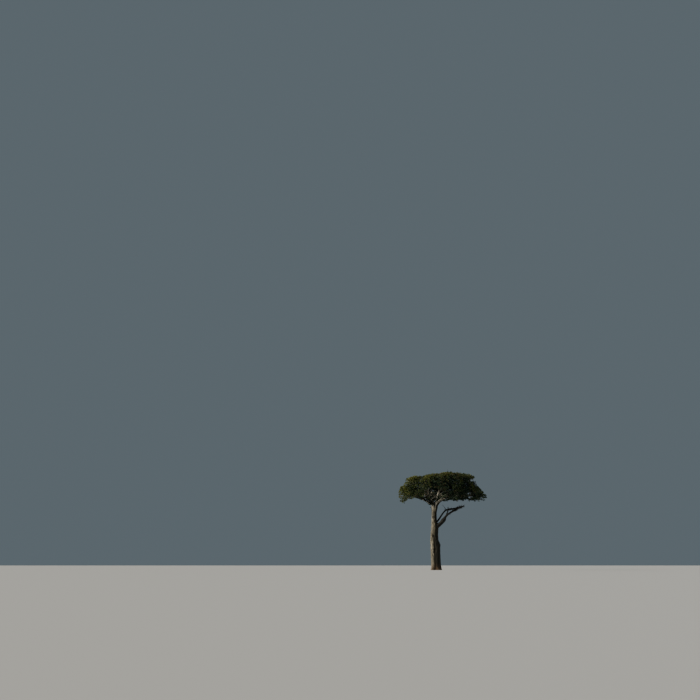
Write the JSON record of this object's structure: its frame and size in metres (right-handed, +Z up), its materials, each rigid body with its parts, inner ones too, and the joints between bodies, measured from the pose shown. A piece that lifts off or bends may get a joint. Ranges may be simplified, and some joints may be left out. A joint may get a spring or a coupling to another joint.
{
  "type": "acacia tree",
  "caption": "Flat-topped acacia tree with a fluted trunk, spreading boughs under a shallow dome of foliage, and dead limbs low on one side.",
  "frame": {"origin": "centre of the flat cut under the trunk, at ground level", "axes": "+Z up the tree, +X to the right in the pictured view, +Y away from the viewer"},
  "size_m": [8.8428, 8.0675, 9.821],
  "materials": {
    "bark": "rough furrowed grey-brown bark with pale worn patches and dark knots",
    "bough_bark": "rough pale grey-tan bark",
    "dead_wood": "dry weathered dark grey wood with long cracks",
    "foliage": "fine matt olive-green leaf sprays on thin brown twigs"
  },
  "bodies": {
    "root": {"trunk": "bark", "bough_1": "bough_bark", "bough_2": "bough_bark", "bough_3": "bough_bark", "bough_4": "bough_bark", "bough_5": "bough_bark", "bough_6": "bough_bark", "side_bough_1": "bough_bark", "side_bough_2": "bough_bark", "side_bough_3": "bough_bark", "side_bough_4": "bough_bark", "side_bough_5": "bough_bark", "side_bough_6": "bough_bark", "rising_bough_1": "bough_bark", "rising_bough_2": "bough_bark", "rising_bough_3": "bough_bark", "rising_bough_4": "bough_bark", "rising_bough_5": "bough_bark", "rising_bough_6": "bough_bark", "leader_bough": "bough_bark", "dead_limb_lower": "dead_wood", "dead_limb_upper": "dead_wood", "dead_limb_prong": "dead_wood", "dead_twig": "dead_wood", "foliage_outer_01": "foliage", "foliage_outer_02": "foliage", "foliage_outer_03": "foliage", "foliage_outer_04": "foliage", "foliage_outer_05": "foliage", "foliage_outer_06": "foliage", "foliage_outer_07": "foliage", "foliage_outer_08": "foliage", "foliage_outer_09": "foliage", "foliage_outer_10": "foliage", "foliage_outer_11": "foliage", "foliage_outer_12": "foliage", "foliage_inner_1": "foliage", "foliage_inner_2": "foliage", "foliage_inner_3": "foliage", "foliage_inner_4": "foliage", "foliage_inner_5": "foliage", "foliage_inner_6": "foliage", "foliage_centre": "foliage"}
  },
  "joints": []
}
